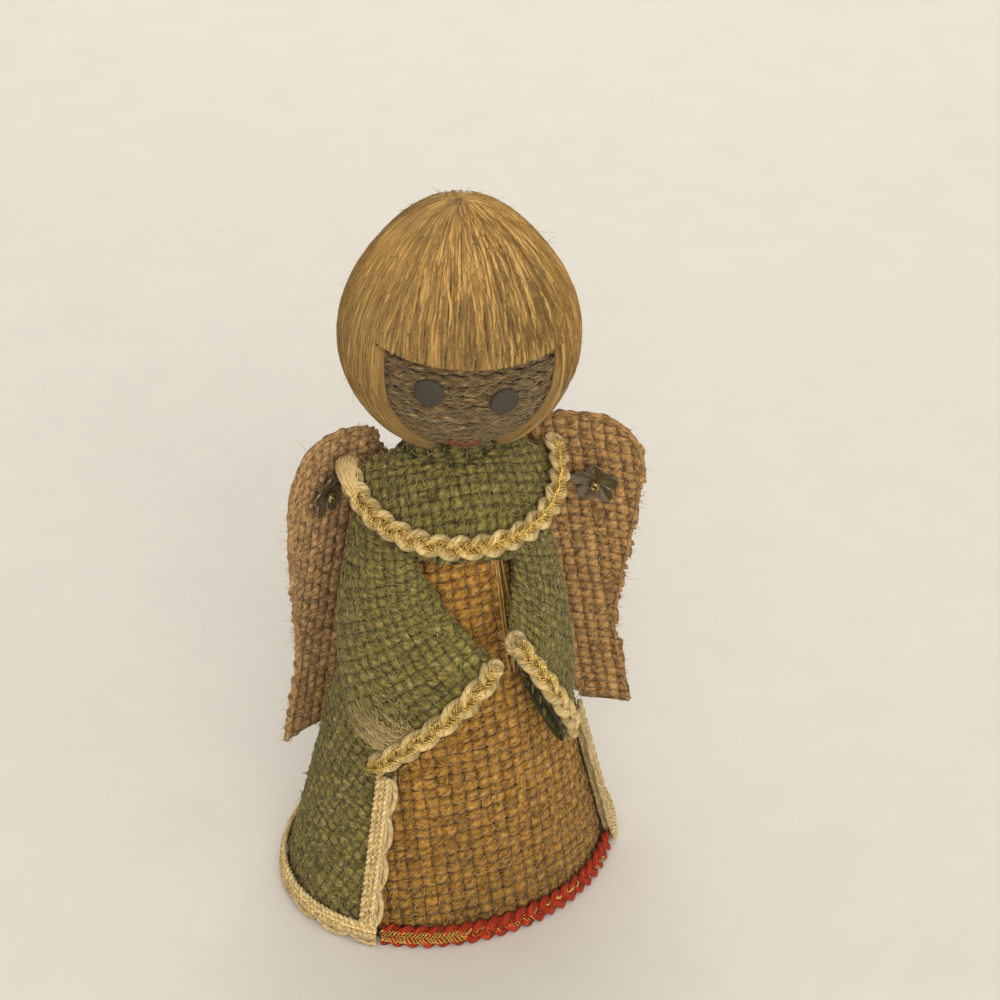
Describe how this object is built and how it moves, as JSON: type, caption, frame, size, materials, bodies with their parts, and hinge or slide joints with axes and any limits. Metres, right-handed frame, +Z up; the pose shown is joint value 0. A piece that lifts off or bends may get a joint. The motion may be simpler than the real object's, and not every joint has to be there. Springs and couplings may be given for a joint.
{
  "type": "jute angel ornament",
  "caption": "Standing burlap angel on a card cone, with a jute-wound head, bell sleeves, braid trim and wings that flex at their glued roots, for display on a table or tree top.",
  "frame": {"origin": "centre of the open mouth of the card cone, on the table", "axes": "+Z up along the cone, -Y to the figure's front, +X to the figure's left"},
  "size_m": [0.0924, 0.0751, 0.1699],
  "materials": {
    "card": "matt unbleached card",
    "gown_burlap": "natural tan burlap, open plain weave",
    "coat_burlap": "olive green dyed burlap, open plain weave",
    "wing_burlap": "brown burlap stiffened with glue, frayed cut edges",
    "cream_braid": "cream chain braid with a gold thread",
    "coral_braid": "coral plait with a gold thread",
    "head_foam": "light craft foam, hidden",
    "face_twine": "brown jute twine",
    "jute_hair": "combed golden jute fibre",
    "black_felt": "matt black felt",
    "red_felt": "matt red felt",
    "flower_sequin": "dark green pearly sequin",
    "flower_bead": "dark green glassy bead"
  },
  "bodies": {
    "figure": {"card_cone": "card", "gown": "gown_burlap", "gown_hem_braid": "coral_braid", "coat": "coat_burlap", "coat_hem_braid": "cream_braid", "coat_edge_braid_left": "cream_braid", "coat_edge_braid_right": "cream_braid", "sleeve_left": "coat_burlap", "sleeve_right": "coat_burlap", "cuff_braid_left": "cream_braid", "cuff_braid_right": "cream_braid", "collar": "coat_burlap", "collar_braid": "cream_braid", "head_ball": "head_foam", "face_winding": "face_twine", "hair_long": "jute_hair", "hair_fringe": "jute_hair", "eye_left": "black_felt", "eye_right": "black_felt", "mouth": "red_felt"},
    "wing_left": {"wing_left": "wing_burlap", "wing_flower_left": "flower_sequin", "flower_bead_left": "flower_bead"},
    "wing_right": {"wing_right": "wing_burlap", "wing_flower_right": "flower_sequin", "flower_bead_right": "flower_bead"}
  },
  "joints": [
    {"name": "wing_left_flex", "type": "hinge", "parent": "figure", "child": "wing_left", "pos_m": [0.0169, 0.01551, 0.0745], "axis": [-0.187, -0.1594, 0.9694], "range_deg": [-8, 25], "stiffness_Nm_per_rad": 0.02},
    {"name": "wing_right_flex", "type": "hinge", "parent": "figure", "child": "wing_right", "pos_m": [-0.01, 0.01806, 0.0755], "axis": [-0.103, 0.1785, -0.9785], "range_deg": [-3, 25], "stiffness_Nm_per_rad": 0.02}
  ]
}
